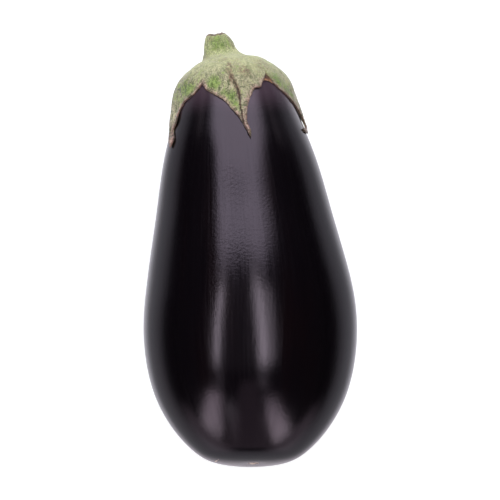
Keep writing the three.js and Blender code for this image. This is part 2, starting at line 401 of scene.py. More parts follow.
def makeFruitTree(s):
    sizes = ("length", "bendFrom", "bendRound", "leanLeft", "leanUp", "swell", "pitch",
             "ripple", "flute", "scarRadius", "scarDepth", "scarButton")
    tree, given, result = newTree("eggplantFruit", "GeometryNodeTree", {
        **{socketName(key): ("Float", float(s[key])) for key in sizes},
        "Set Down": ("Vector", tuple(setDown)), "Scar Centre": ("Vector", s["scarCentre"]),
        "Skin": ("Material", None)}, {"Geometry": ("Geometry", None)})
    ball = addNode(tree, "GeometryNodeMeshUVSphere", {
        "Segments": s["segments"], "Rings": s["rings"], "Radius": 1.0}).outputs["Mesh"]
    where = addNode(tree, "GeometryNodeInputPosition").outputs[0]
    parts = partsOf(where)
    side, up, share = parts["X"], times(parts["Y"], -1.0), parts["Z"]
    turn = calc("ARCCOSINE", times(share, -1.0))
    angle = calc("ARCTAN2", side, up)

    # the profile: fullness over the turn, as a curve from 0 to 1 both ways
    knots = np.linspace(0, math.pi, s["profilePoints"])
    heights = fullness(knots)
    top = float(heights.max()) * 1.02
    profile = addNode(tree, "ShaderNodeFloatCurve", {"Value": divided(turn, math.pi)})
    points, spots = profile.mapping.curves[0].points, list(zip(knots / math.pi, heights / top))
    points[0].location, points[1].location = spots[0], spots[-1]
    for spot in spots[1:-1]:
        points.new(*spot)
    profile.mapping.update()
    sine = calc("SINE", turn)
    swell = times(times(given["Swell"], calc("POWER", sine, 2.0)), calc("COSINE", times(angle, 3.0)))
    full = times(times(profile.outputs[0], top), plus(1.0, swell))
    across, above = times(full, side), times(full, up)

    # the bent axis
    axis = times(given["Length"], calc("MULTIPLY_ADD", share, 0.5, 0.5))
    past = minus(axis, given["Bend From"])
    reach = calc("SQRT", plus(calc("POWER", past, 2.0), calc("POWER", given["Bend Round"], 2.0)))
    run = times(plus(reach, past), 0.5)

    # the dimple and button of the blossom scar
    fromScar = vectorCalc("DISTANCE", vectorOf(across, above), given["Scar Centre"], out="Value")

    def scarBell(width):
        return calc("EXPONENT", times(calc("POWER", divided(fromScar, width), 2.0), -1.0))

    dimple = times(given["Scar Depth"], scarBell(given["Scar Radius"]))
    button = times(given["Scar Button"], scarBell(divided(given["Scar Radius"], 3.0)))
    sink = times(calc("LESS_THAN", turn, 1.0), minus(dimple, button))

    shaped = vectorOf(minus(across, times(given["Lean Left"], run)), plus(axis, sink),
                      plus(above, times(given["Lean Up"], run)))
    lying = addNode(tree, "ShaderNodeVectorRotate", {"Vector": shaped, "Angle": times(given["Pitch"], -1.0)},
                    rotation_type="X_AXIS").outputs[0]
    placed = vectorCalc("SCALE", vectorCalc("ADD", lying, given["Set Down"]), mm)

    # remembered places for the skin's colours, while the ball is still round
    skinPlace = vectorOf(calc("SINE", angle), calc("COSINE", angle), divided(axis, given["Length"]))
    kept = addNode(tree, "GeometryNodeStoreNamedAttribute", {
        "Geometry": ball, "Name": "skinPlace", "Value": skinPlace}, data_type="FLOAT_VECTOR", domain="POINT")

    # slight unevenness of the skin: broad ripples, and flutes that run along the fruit
    place = storedField(tree, "skinPlace", "FLOAT_VECTOR")
    ripple = noise(where, *s["ripples"])
    flute = times(noise(vectorCalc("MULTIPLY", place, (1.0, 1.0, 0.5)), *s["flutes"]), sine)
    height = plus(times(given["Ripple"], minus(ripple, 0.5)), times(given["Flute"], minus(flute, 0.5)))
    normal = addNode(tree, "GeometryNodeInputNormal").outputs[0]
    join(inTurn(
        kept.outputs[0],
        ("SetPosition", {"Position": placed}),
        ("SetPosition", {"Offset": vectorCalc("SCALE", normal, times(height, mm))}),
        ("SetPosition", {"Position": vectorCalc("MAXIMUM", where, (-1.0, -1.0, 0.0))}),
        ("SetShadeSmooth", {}),
        ("RealizeInstances", {}),
        ("SetMaterial", {"Material": given["Skin"]})), result["Geometry"])
    return tree


fruit = runTree("eggplantFruit", makeFruitTree(fruitSettings), {"Skin": makeSkinMaterial(fruitSettings)})
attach(fruit, "root")
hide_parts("fruit")
print("fruit skin made:", len(fruit.data.polygons), "faces")


# calyx and stem: places are degrees round the fruit's axis and millimetres along it, from the blossom end
calyxSettings = {
    # the green cap's ragged edge, lobe by lobe from notch to notch, and which point of each is its tip
    "lobes": {
        "front": [
            (-35.1, 148.3), (-31.4, 146.4), (-28.2, 145.0), (-22.7, 143.5), (-18.6, 142.5),
            (-14.8, 141.3), (-9.4, 139.3), (-6.0, 137.0), (-2.5, 134.9), (0.8, 132.4), (3.5, 129.8),
            (5.9, 126.8), (8.3, 123.7), (8.8, 125.6), (7.7, 128.1), (6.8, 130.7), (7.5, 134.2),
            (8.8, 136.9), (10.3, 139.1), (13.0, 141.8), (16.2, 144.1), (19.9, 145.6), (24.4, 146.3),
            (26.8, 147.4), (29.0, 149.0), (34.0, 149.9)],
        "right": [
            (34.0, 149.9), (40.0, 150.1), (45.1, 149.0), (48.8, 147.4), (54.4, 146.7), (59.7, 145.6),
            (67.5, 144.4), (75.0, 142.8), (80.5, 140.6), (83.8, 138.4), (84.6, 136.6), (82.6, 135.0),
            (77.0, 133.4), (66.5, 132.2), (74.0, 131.5), (81.0, 131.8), (87.0, 133.4), (92.0, 136.4),
            (98.0, 140.5), (102.5, 144.0), (107.0, 147.3), (112.0, 150.0)],
        "under right": [
            (112, 150), (116, 147.2), (122, 145), (131, 142), (139, 138), (145, 133), (150, 127),
            (153, 131.5), (155.5, 137), (160, 142), (168, 145.5), (174, 147.5), (178, 149)],
        "under left": [
            (178, 149), (184, 146), (191, 144.5), (198, 141), (203, 136), (206.5, 128.5), (211, 133),
            (217, 138.5), (225, 142.5), (235, 144.5), (242, 146.8), (247, 149)],
        "left": [
            (247, 149), (252, 146), (258, 143.5), (263, 141), (268, 138.4), (273.5, 136), (279, 133.9),
            (283, 132), (285.5, 129.6), (289, 127), (296.5, 124.0), (299, 126.2), (298.2, 127.6),
            (295.5, 129.8), (292.9, 131.3), (293.4, 132.5), (296, 133.5), (297.2, 135), (297.0, 137),
            (297.4, 139.2), (300.3, 140.9), (304, 142.6), (311.4, 143.7), (316.5, 144.5), (320.8, 146.3),
            (324.9, 148.3)],
    },
    "tips": {"front": 12, "right": 13, "under right": 6, "under left": 5, "left": 10},
    "notchesAt": 149,
    # the cap, in millimetres
    "clearance": 0.22,
    "edgeClearance": 0.05,
    "crownThickness": 2.4,
    "crownSway": 0.57,  # thicker to the right of the stem, thinner to the left
    "shoulderThickness": 1.9,
    "edgeThickness": 0.42,
    "thinnest": 0.3,
    "thinnedWithin": 11,
    "pillow": 0.45,
    "pillowWithin": 9,
    "ribHeight": 0.35,
    "ribWidth": 0.22,  # share of the half lobe
    "joinRadius": 11.5,
    "joinSpread": 2.75,
    "joinToward": -0.3,
    "flarePull": 0.36,
    "curl": 0.1,
    "curlWave": (3.1, 8),  # how long, seed
    "edgeRagged": 0.26,
    "raggedWaves": [(1, 0.9, 3), (0.5, 0.33, 4), (0.8, 2.6, 5)],  # share of the height, how long, seed
    "raggedFade": 8,  # the higher, the closer to the edge
    "lumps": [(5.5, 0.2), (3.2, 0.2), (1.15, 0.1)],  # unevenness of the felt: how far apart, how high
    # where edges stand off the skin: degrees, place, reach in degrees and millimetres, height
    "edgeLifts": [
        (-72, 135.5, 16, 3.2, 0.3), (93, 140, 13, 4.5, 0.6), (86, 135.5, 6, 2.2, 0.3),
        (-64, 124, 6, 2, 0.3), (10, 124, 6, 3, 0.25), (150, 128, 12, 6, 0.5), (207, 129, 12, 6, 0.5),
        (24, 146, 5, 2, 0.3)],
    # the crease down the front lobe, from the crown to its tip
    "fold": [
        (-4.4, 153.3), (-4.1, 150.2), (-1.9, 148), (0.8, 144.9), (2.5, 142.3), (2.8, 139.2),
        (3.0, 136.1), (3.2, 133), (3.8, 130), (6.2, 126)],
    "foldEnds": ((123, 127), (146, 154)),
    "foldGroove": (0.95, 0.34),  # depth, half width
    "foldShallower": (0.65, 139, 146),  # by what share, from where to where
    "foldFainter": (0.3, 141, 149),
    "foldBanks": [(0.45, 1.0, 0.9), (0.15, -1.6, 1.3)],  # height, how far to the right, half width
    "foldWander": (0.22, 0.8, 21),  # how far, how long, seed
    "asideMost": 8,
    # the notch where a strip is torn off between the front and the right lobe
    "tornGap": {
        "apex": (37.0, 153.4), "left": (29.0, 149.0), "right": (43.5, 150.3), "below": 0.9, "ragged": 0.25},
    # coloured places: degrees, place, reach in degrees and millimetres, strength
    "greenPatches": [
        (-20, 147.2, 12, 3.6, 1.0), (-9, 145.5, 6, 2.2, 0.75), (-4.5, 141.3, 6.5, 3.4, 1.0),
        (-1.5, 137.5, 4, 2.5, 0.8), (-37, 146.2, 8, 3, 0.4), (-52, 146.6, 14, 3.4, 0.75),
        (-61, 142.6, 9, 3.4, 0.66), (-69, 146.5, 9, 4.2, 0.42), (-42, 152.5, 12, 3, 0.3),
        (-12, 150, 9, 2.4, 0.6), (-11, 143, 7.5, 2.8, 0.85), (50, 150.8, 11, 3.4, 0.75),
        (62, 146, 9, 4, 0.8), (150, 146, 22, 6, 0.8), (205, 145, 22, 6, 0.8), (95, 152, 22, 4, 0.5),
        (270, 148, 18, 5, 0.7)],
    "freckledPlaces": [
        (-5.6, 153.0, 3.2, 2.6, 1.0), (-3.4, 149.3, 2.6, 3.4, 0.9), (0.2, 145, 2.2, 3.0, 0.6),
        (11, 151.6, 7.5, 2.4, 0.6), (-12, 156, 8, 3, 0.3), (36, 155.5, 16, 3.2, 0.45),
        (-66, 127.5, 9, 4.5, 0.95), (-77, 134, 8, 3.4, 0.62)],
    # rows and columns of faces
    "columnsPerHalfLobe": 44,
    "crowding": 0.115,  # how much columns crowd together at the notches and tips
    "pathPoints": 41,
    "leadInPoints": 12,
    "capRows": 88,
    "rimRows": 3,
    "liningRows": 12,
    "flareRows": 18,
    "crownRows": 4,
    "cutRows": 10,
    "stemRows": 22,
    # the stem: its girth is height over the foot and radius
    "footAt": 165.8,
    "footLeft": 12.4,
    "footUp": 7,
    "stemLean": (-0.22, 1, 0.22),
    "stemGirth": [(0, 6.5), (2, 6.15), (4, 5.5), (5.75, 4.6), (6.7, 3.95), (7.2, 3.1)],
    "splay": 0.6,
    "ribs": 5,
    "ribShare": 0.035,
    "cutTilt": 0.1,
    "cutHollow": 0.5,
    # how often round the stem, share of its radius, where they start
    "rimWaves": [(3, 0.035, 0.4), (7, 0.016, 2.0), (11, 0.007, 1.1)],
    "rimDrop": 2.2,
    "cutBrownFrom": (5.6, 7.1),  # height on the stem
    "stemGreen": 0.65,
    "stemFront": (12, 62),  # degrees to the left, half width
    "stemFreckles": (38, 22, 5.2, 1.4, 0.5),  # degrees to the left, reach, height, reach, strength
    # the felt: colours
    "light": (0.60, 0.625, 0.325, 1),
    "low": (0.43, 0.41, 0.248, 1),
    "green": (0.22, 0.33, 0.075, 1),
    "tan": (0.46, 0.37, 0.26, 1),
    "freckle": (0.20, 0.105, 0.07, 1),
    "margin": (0.40, 0.29, 0.22, 1),
    "edge": (0.15, 0.066, 0.05, 1),
    "tip": (0.25, 0.185, 0.145, 1),
    # painted shade: a near-black colour for the shadowed slit down the front lobe's crease
    "creaseShade": (0.08, 0.042, 0.028, 1),
    "tornFlesh": (0.12, 0.045, 0.02, 1),
    "tornLip": (0.36, 0.17, 0.08, 1),
    "under": (0.30, 0.28, 0.15, 1),
    "cutFace": (0.42, 0.36, 0.24, 1),
    "cutRing": (0.16, 0.10, 0.06, 1),
    "cutRim": (0.15, 0.085, 0.065, 1),
    # where they come in and how strongly: places along the fruit, or millimetres from the edge
    "lowFrom": (157.0, 147.0),
    "tipFrom": (138.0, 126.0, 0.0, 0.85),
    "marginWithin": (2.3, 0.3, 0.0, 0.9),
    "edgeWithin": (0.6, 0.1, 0.0, 0.88),
    "creaseShadeWithin": (0.6, 0.16, 0.0, 0.95),
    "smudgeWithin": (1.5, 0.3, 0.0, 0.6),
    "smudgeFrom": (138.0, 142.0),
    "tornLipWithin": (0.9, 0.2),
    # patterns of the felt: how many to the metre, detail, roughness
    "broad": (130.0, 3.0, 0.55),
    "middle": (420.0, 3.0, 0.6),
    "fine": (1100.0, 2.0, 0.6),
    "grain": (2600.0, 2.0, 0.6),
    "strands": (1250.0, 4.0, 0.65),
    "strandBends": (130.0, 2.0),
    "strandSway": 0.007,
    "strandRadius": 15,  # round and along scales of the strands
    "stemStrandRadius": 7,
    "strandStretch": 0.36,
    "strandContrast": (0.4, 0.6, -0.58, 0.6),
    "contrastFrom": (158.0, 146.0, 0.5, 1.25),
    "contrastAside": (0.5, 3.5, 1.0, 0.72),  # calmer to the right of the fold
    "specks": (800.0, 0.3, 0.42),  # how many to the metre, share, spread
    "feltHeight": 0.0009,
    "strandHeight": 0.0002,
    "grainHeight": 0.00005,
}


def smooth(x, low, high):
    t = np.clip((x - low) / (high - low), 0, 1)
    return t * t * (3 - 2 * t)


def bell(x, width):
    return np.exp(-((x / width) ** 2))


def wrapped(degrees):
    return (degrees + 180) % 360 - 180


def unit(vectors):
    return vectors / np.maximum(np.linalg.norm(vectors, axis=-1, keepdims=True), tiny)


def wander(x, step, seed, around=4096.0):
    # a smooth random line between -1 and 1 that joins up after going round
    count = round(around / step)
    knots = np.random.default_rng(seed).uniform(-1, 1, count)
    place = np.asarray(x) * count / around
    i = np.floor(place).astype(int)
    t = smooth(place - i, 0, 1)
    return knots[i % count] * (1 - t) + knots[(i + 1) % count] * t


def evenCurve(xs, ys, x):
    # a smooth line through the stations that never swings past them
    xs, ys = np.array(xs, float), np.array(ys, float)
    step, rise = np.diff(xs), np.diff(ys) / np.diff(xs)
    product, total = rise[1:] * rise[:-1], rise[1:] + rise[:-1] + tiny
    slopes = np.concatenate([[rise[0]], np.where(product > 0, 2 * product / total, 0), [rise[-1]]])
    i = int(np.clip(np.searchsorted(xs, x) - 1, 0, len(step) - 1))
    t = (x - xs[i]) / step[i]
    return (ys[i] * (1 + 2 * t) * (1 - t) ** 2 + ys[i + 1] * t * t * (3 - 2 * t)
            + step[i] * (slopes[i] * t * (1 - t) ** 2 - slopes[i + 1] * t * t * (1 - t)))


def measured(angle, at):
    # how far along its way each point of a line on the skin lies
    radius = radiusAt(turnAt(at))
    sideways = np.diff(angle) * (radius[1:] + radius[:-1]) / 2
    steps = np.sqrt(sideways**2 + np.diff(at) ** 2 + np.diff(radius) ** 2)
    return np.concatenate([[0], np.cumsum(steps)])


def margin(line):
    # one side of a lobe, from its notch to its tip, as a function of the share of the way
    degrees, at = np.array(line, float).T
    angle = np.radians(degrees)
    walked = measured(angle, at)
    shares = walked / walked[-1]
    return lambda share: (np.interp(share, shares, angle), np.interp(share, shares, at)), walked[-1]


def joinTurnAt(angle):
    # where the stem's flare runs into the cap
    c, turns = calyxSettings, np.linspace(math.pi, 2, 4001)
    radius = c["joinRadius"] + c["joinSpread"] * np.cos(angle - c["joinToward"])
    return np.interp(radius, radiusAt(turns), turns)


def calyxPaths(c):
    # every column runs from the flare to the line between the notches, then between its lobe's sides
    # to its place on one of them
    half, rows, count, leadIn = c["columnsPerHalfLobe"], c["capRows"] + 1, c["pathPoints"], c["leadInPoints"]
    angles, ats, kept, walked = [], [], {"across": [], "lobe": [], "angle": [], "walk": []}, 0
    share = np.linspace(0, 1, count)
    for number, (name, line) in enumerate(c["lobes"].items()):
        tip = c["tips"][name]
        (left, leftLength), (right, rightLength) = margin(line[: tip + 1]), margin(line[tip:][::-1])
        for k in range(-half, half):
            toNotch = 1 - abs(k) / half
            reach = toNotch - c["crowding"] * math.sin(2 * math.pi * toNotch)
            start = 0.5 * reach if k < 0 else 1 - 0.5 * reach
            toSide = (1 - share**2) * start if k < 0 else 1 - (1 - share**2) * (1 - start)
            toSide = toSide if reach < 1 else np.full(count, 0.5)
            (a, atA), (b, atB) = left(share * reach), right(share * reach)
            angle, at = a + (b - a) * toSide, atA + (atB - atA) * toSide
            joinAngle, joinAt = angle[0], float(axisAt(joinTurnAt(angle[0])))
            angle = np.concatenate([np.full(leadIn, joinAngle), angle])
            at = np.concatenate([np.linspace(joinAt, at[0], leadIn + 1)[:-1], at])
            places = measured(angle, at)
            even = np.linspace(0, places[-1], rows)
            angles.append(np.interp(even, places, angle))
            ats.append(np.interp(even, places, at))
            alongEdge = leftLength * reach if k < 0 else leftLength + rightLength * (1 - reach)
            found = (reach - 1 if k < 0 else 1 - reach, number, joinAngle, walked + alongEdge)
            for values, value in zip(kept.values(), found):
                values.append(value)
        walked += leftLength + rightLength
    columns = {key: np.array(values, float) for key, values in kept.items()}
    angles, ats = np.array(angles).T, np.array(ats).T
    aside = np.abs(columns["across"])
    ragged = sum(high * wander(columns["walk"], long, seed, walked) for high, long, seed in c["raggedWaves"])
    # tips and notches stay sharp
    ragged = ragged * smooth(1 - aside, -0.05, 0.1) * smooth(aside, -0.03, 0.06)
    ats = ats + c["edgeRagged"] * ragged * np.linspace(0, 1, rows)[:, None] ** c["raggedFade"]
    columns.update(edgeAngle=angles[-1], edgeAt=ats[-1], joinAt=ats[0], joinTurn=joinTurnAt(columns["angle"]),
                   curl=1 + wander(columns["walk"], *c["curlWave"], walked))
    return columns, angles, ats


columns, pathAngles, pathAts = calyxPaths(calyxSettings)


def capPlace(share):
    # turn, angle and how far it has come down towards the notches, for every column
    row = share * calyxSettings["capRows"]
    first = min(int(row), calyxSettings["capRows"] - 1)
    part = row - first
    angle, at = (paths[first] * (1 - part) + paths[first + 1] * part for paths in (pathAngles, pathAts))
    return turnAt(at), angle, (columns["joinAt"] - at) / (columns["joinAt"] - calyxSettings["notchesAt"])


def toEdge(turn, angle):
    apart = np.angle(np.exp(1j * (angle[:, None] - columns["edgeAngle"])))
    radius = (radiusAt(turn)[:, None] + radiusAt(turnAt(columns["edgeAt"]))) / 2
    return np.hypot(apart * radius, axisAt(turn)[:, None] - columns["edgeAt"]).min(1)


def patchy(places, degrees, at):
    found = 0.0
    for towards, place, wide, long, strength in places:
        found = np.maximum(found, strength * bell(wrapped(degrees - towards), wide) * bell(at - place, long))
    return found


def unrolled(degrees, at):
    return np.radians(degrees) * radiusAt(turnAt(at))


def insideTornGap(degrees, at):
    gap = calyxSettings["tornGap"]
    apex, left, right = (np.array(gap[key], float) for key in ("apex", "left", "right"))
    inside, below = 1.0, (0, gap["below"])
    for start, end in ((left, apex), (apex, right), (right - below, left - below)):
        startX, endX = unrolled(*start), unrolled(*end)
        direction = unit(np.array([endX - startX, end[1] - start[1]]))
        within = (unrolled(degrees, at) - startX) * direction[1] - (at - start[1]) * direction[0]
        inside = inside * smooth(within + gap["ragged"] * wander(at + 7, 0.5, 9), -0.1, 0.35)
    return inside


def foldAt(degrees, at, turn):
    # how far beside the fold, how strong it is there, and how deep the groove with its banks
    c = calyxSettings
    foldDegrees, foldPlaces = np.array(c["fold"])[::-1].T
    far, long, seed = c["foldWander"]
    aside = np.radians(wrapped(degrees - np.interp(at, foldPlaces, foldDegrees))) * radiusAt(turn)
    aside = aside + far * wander(at, long, seed)
    lowEnd, highEnd = c["foldEnds"]
    strength = smooth(at, *lowEnd) * (1 - smooth(at, *highEnd)) * (columns["lobe"] == 0)
    depth, width = c["foldGroove"]
    banks = sum(high * bell(aside - right, wide) for high, right, wide in c["foldBanks"])
    share, *between = c["foldShallower"]
    groove = depth * bell(aside, width) * (1 - share * smooth(at, *between))
    return aside, strength, strength * (groove - banks)


def capHeights(share):
    # heights of the cap's upper and under side over the skin, and the marks that its colours need
    c = calyxSettings
    turn, angle, fallen = capPlace(share)
    degrees, at = np.degrees(angle), axisAt(turn)
    gap = toEdge(turn, angle)
    inward = smooth(gap, -1, c["thinnedWithin"])
    crown = c["crownThickness"] - c["shoulderThickness"] + c["crownSway"] * np.sin(angle)
    thickness = c["edgeThickness"] + (c["shoulderThickness"] - c["edgeThickness"]) * inward
    thickness = thickness + crown * (1 - smooth(fallen, 0, 1.1))
    thickness = thickness + c["pillow"] * smooth(gap, 0, c["pillowWithin"]) * smooth(fallen, 0.1, 0.9)
    rib = c["ribHeight"] * bell(columns["across"], c["ribWidth"])
    rib = rib * smooth(fallen, 0.2, 0.9) * smooth(gap, 0, 2) * (columns["lobe"] > 0)  # in front is the fold
    lift = c["clearance"] + (c["edgeClearance"] - c["clearance"]) * (1 - smooth(gap, 0, 4))
    lift = lift + c["curl"] * (1 - smooth(gap, 0, 2.5)) * columns["curl"]
    for towards, place, wide, long, height in c["edgeLifts"]:
        lift = lift + height * bell(wrapped(degrees - towards), wide) * bell(at - place, long)
    aside, strength, groove = foldAt(degrees, at, turn)
    torn = insideTornGap(degrees, at)
    top = lift + np.maximum(thickness + rib - groove, c["thinnest"])
    top = top + (lift + 0.25 - top) * torn
    fainter, *between = c["foldFainter"]
    marks = {
        "toEdge": gap,
        "along": at,
        "fold": strength * (1 - fainter * smooth(at, *between)),
        "aside": np.clip(aside, -c["asideMost"], c["asideMost"]),
        "torn": torn,
        "green": patchy(c["greenPatches"], degrees, at),
        "freckled": patchy(c["freckledPlaces"], degrees, at),
    }
    return turn, angle, top, lift, marks


def capTop(share):
    turn, angle, top, *_ = capHeights(share)
    return skinPoint(turn, angle, top)


stemFoot = np.array([-calyxSettings["footLeft"], calyxSettings["footAt"], calyxSettings["footUp"]], float)
stemLean = unit(np.array(calyxSettings["stemLean"], float))
stemUp = unit(np.array([0, 0, 1]) - stemLean * stemLean[2])
stemRight = np.cross(stemLean, stemUp)


def stemPoint(height, radius):
    c, angle = calyxSettings, columns["angle"]
    nearCut = (height / c["stemGirth"][-1][0]) ** 2
    wave = sum(share * np.cos(often * angle + start) for often, share, start in c["rimWaves"])
    out = radius * (1 + c["ribShare"] * np.cos(c["ribs"] * angle) + wave * nearCut)
    drop = (c["cutTilt"] * out * np.sin(angle) + c["rimDrop"] * wave * out) * nearCut
    return (stemFoot + np.outer(height - drop, stemLean) + np.outer(out * np.cos(angle), stemUp)
            + np.outer(out * np.sin(angle), stemRight))


def flareRow(t):
    # from the stem's foot to the cap, level with both
    start, end = stemPoint(*calyxSettings["stemGirth"][0]), capTop(0.0)
    slant = unit(unit(start - stemFoot) * calyxSettings["splay"] - stemLean)
    slope = unit(capTop(0.02) - end)
    pull = calyxSettings["flarePull"] * np.linalg.norm(end - start, axis=1, keepdims=True)
    a, b = start + slant * pull, end - slope * pull
    return start * (1 - t) ** 3 + 3 * a * t * (1 - t) ** 2 + 3 * b * t * t * (1 - t) + end * t**3


# what the felt's colours read at every point, where a row says nothing else
usualMarks = {"toEdge": 30.0, "along": 170.0, "aside": 8.0,
              **{key: 0.0 for key in ("fold", "torn", "cut", "under", "stemward", "green", "freckled")}}


def calyxRows(c):
    # rows of points from the middle of the cut, down the stem, over the cap, round its edge and back under it
    rows, angles, marks, width = [], [], {key: [] for key in usualMarks}, len(columns["angle"])
    degrees = np.degrees(columns["angle"])

    def addRow(points, angle=columns["angle"], **values):
        rows.append(points)
        angles.append(angle)
        for key in marks:
            marks[key].append(np.broadcast_to(values.get(key, usualMarks[key]), width))

    heights, radii = zip(*c["stemGirth"])
    for t in np.linspace(0, 1, c["cutRows"] + 1)[1:-1]:
        height = heights[-1] - c["cutHollow"] * (1 - t * t)
        addRow(stemPoint(height, radii[-1] * t), cut=1.0 - 0.4 * t * t, stemward=1)
    left, wide = c["stemFront"]
    front = bell(wrapped(degrees + left), wide)
    left, wide, freckledAt, long, strength = c["stemFreckles"]
    for t in np.linspace(1, 0, c["stemRows"]) ** 0.8:
        height = heights[-1] * t
        addRow(stemPoint(height, evenCurve(heights, radii, height)), stemward=1,
               cut=0.6 * smooth(height, *c["cutBrownFrom"]),
               green=c["stemGreen"] * front * smooth(height, -1.5, 1.5) * (1 - 0.6 * smooth(height, 5.5, 7)),
               freckled=strength * bell(wrapped(degrees + left), wide) * bell(height - freckledAt, long))
    for t in np.linspace(0, 1, c["flareRows"] + 1)[1:-1]:
        addRow(flareRow(t), stemward=1 - t, green=front * (1 - smooth(t, 0, 0.5)) * 0.5)
    for t in np.linspace(0, 1, c["capRows"] + 1):
        turn, angle, top, lift, found = capHeights(t)
        addRow(skinPoint(turn, angle, top), angle, **found)
    outwards = unit(skinPoint(turn, angle, top) - capTop(0.985)) * 0.5 * (top - lift)[:, None]
    for bend in np.linspace(0, math.pi, c["rimRows"] + 2)[1:-1]:
        height = lift + (top - lift) * (1 + math.cos(bend)) / 2
        addRow(skinPoint(turn, angle, height) + outwards * math.sin(bend), angle, **{**found, "under": 0.5})
    for t in np.linspace(1, 0, c["liningRows"] + 1):
        turn, angle, _, lift, _ = capHeights(t)
        addRow(skinPoint(turn, angle, lift), angle, under=1)
    for t in np.linspace(0, 1, c["crownRows"] + 1)[1:-1]:
        turn = columns["joinTurn"] * (1 - t) + math.pi * t
        addRow(skinPoint(turn, columns["angle"], c["clearance"]), under=1)
    first = stemPoint(heights[-1] - c["cutHollow"], 0.0)[0]
    last = skinPoint(np.array(math.pi), np.array(0.0), c["clearance"])
    marks = {key: np.array(values) for key, values in marks.items()}
    return np.array(rows), np.array(angles), first, last, marks


def withPoles(values):
    # a value for the first and the last point too, which close the rows
    return np.concatenate([values[:1, 0], values.reshape(-1, *values.shape[2:]), values[-1:, 0]])


def lumpy(mesh, under):
    normals, points = (np.empty((len(under), 3), np.float32) for _ in range(2))
    mesh.vertices.foreach_get("normal", normals.ravel())
    mesh.vertices.foreach_get("co", points.ravel())

    def lumpAt(point):
        lumps = calyxSettings["lumps"]
        return sum(high * bumpiness.noise(Vector(point) / (apart * mm)) for apart, high in lumps)

    heights = np.array([lumpAt(point) for point in points])
    points += normals * (heights * mm * (under < 0.3))[:, None]
    mesh.vertices.foreach_set("co", points.ravel())
    mesh.update()


def makeCalyx(name, c):
    rows, angles, first, last, marks = calyxRows(c)
    count, width = angles.shape
    at = 1 + np.arange(count * width).reshape(count, width)
    beside, final = np.roll(at, -1, axis=1), count * width + 1
    quads = np.stack([at[:-1], beside[:-1], beside[1:], at[1:]], axis=-1).reshape(-1, 4).tolist()
    fans = [(0, b, a) for a, b in zip(at[0].tolist(), beside[0].tolist())]
    fans += [(a, b, final) for a, b in zip(at[-1].tolist(), beside[-1].tolist())]
    mesh = bpy.data.meshes.new(name)
    mesh.from_pydata(inFrame(np.vstack([first, rows.reshape(-1, 3), last])).tolist(), [], quads + fans)
    mesh.update()
    lumpy(mesh, withPoles(marks["under"]))
    for key, values in marks.items():
        kept = mesh.attributes.new(key, "FLOAT", "POINT")
        kept.data.foreach_set("value", withPoles(values).astype(np.float32))
    # where the strands of the felt lie: round the axis, and down from the cut
    steps = np.linalg.norm(np.diff(rows, axis=0, prepend=np.broadcast_to(first, (1, width, 3))), axis=2)
    radius = c["strandRadius"] + (c["stemStrandRadius"] - c["strandRadius"]) * marks["stemward"]
    down = np.cumsum(steps, axis=0) * c["strandStretch"]
    place = withPoles(np.stack([np.sin(angles) * radius, np.cos(angles) * radius, down], axis=-1)) * mm
    kept = mesh.attributes.new("strandPlace", "FLOAT_VECTOR", "POINT")
    kept.data.foreach_set("vector", place.astype(np.float32).ravel())
    mesh.shade_smooth()
    return addObject(name, mesh)


